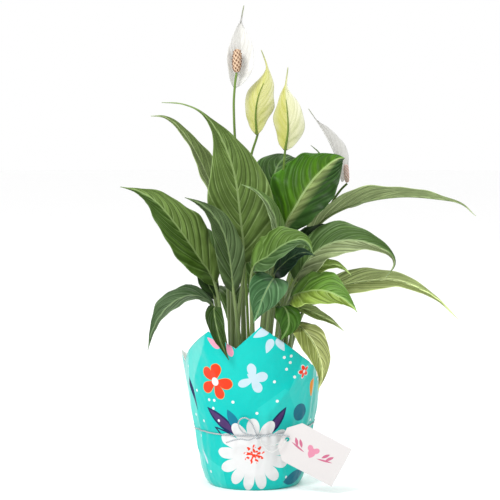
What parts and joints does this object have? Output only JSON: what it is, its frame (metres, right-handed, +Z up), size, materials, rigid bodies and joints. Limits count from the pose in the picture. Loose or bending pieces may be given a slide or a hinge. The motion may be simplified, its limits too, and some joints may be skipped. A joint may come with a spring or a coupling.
{
  "type": "potted peace lily",
  "caption": "Flowering peace lily in a plastic nursery pot inside a printed film wrap, tied with a string bow and a blank gift tag; stands on its base.",
  "frame": {"origin": "pot axis, on the surface the wrap stands on", "axes": "+Z up along the pot axis; the plant's front, with the bow and the tag, looks along -Y; +X to the right of the front"},
  "size_m": [0.3876, 0.2861, 0.5251],
  "materials": {
    "leaf": "living leaf, satin, green with pale side veins",
    "stalk": "smooth green stalk",
    "spathe_white": "soft white petal-like hood with fine veins",
    "spathe_young": "young yellow-green hood with fine veins",
    "spadix": "knobbly cream and brown flower spike",
    "printed_film": "glossy turquoise wrap with a plain floral print",
    "pot_plastic": "black moulded nursery pot",
    "soil": "moist potting mix",
    "string": "silver twisted string",
    "thread": "pale twisted thread",
    "card": "matt white card with a small drawn heart sprig"
  },
  "bodies": {
    "root": {"bow_knot": "string", "bow_loop": "string", "bow_tail_left": "string", "bow_tail_right": "string", "flower_stalk_1": "stalk", "flower_stalk_2": "stalk", "flower_stalk_3": "stalk", "flower_stalk_4": "stalk", "gift_sleeve": "printed_film", "gift_tag": "card", "leaf_arched_right": "leaf", "leaf_back_centre": "leaf", "leaf_back_left": "leaf", "leaf_back_low": "leaf", "leaf_back_low_right": "leaf", "leaf_back_middle_left": "leaf", "leaf_back_right": "leaf", "leaf_back_tall_right": "leaf", "leaf_back_upright": "leaf", "leaf_broad_left": "leaf", "leaf_broad_low_right": "leaf", "leaf_broad_right": "leaf", "leaf_curled_front": "leaf", "leaf_dark_left": "leaf", "leaf_drooping_front": "leaf", "leaf_hanging_centre": "leaf", "leaf_hanging_right": "leaf", "leaf_light_centre": "leaf", "leaf_long_low_right": "leaf", "leaf_long_right": "leaf", "leaf_low_left": "leaf", "leaf_round_back": "leaf", "leaf_shade_centre": "leaf", "leaf_shade_left": "leaf", "leaf_shade_right": "leaf", "leaf_slim_centre": "leaf", "leaf_slim_upper_left": "leaf", "leaf_strap_low_right": "leaf", "leaf_tall_left": "leaf", "leaf_thin_mid_right": "leaf", "nursery_pot": "pot_plastic", "potting_soil": "soil", "spadix_1": "spadix", "spadix_2": "spadix", "spadix_3": "spadix", "spadix_4": "spadix", "spathe_1": "spathe_white", "spathe_2": "spathe_young", "spathe_3": "spathe_young", "spathe_4": "spathe_white", "string_band": "string", "tag_loop": "thread"}
  },
  "joints": []
}
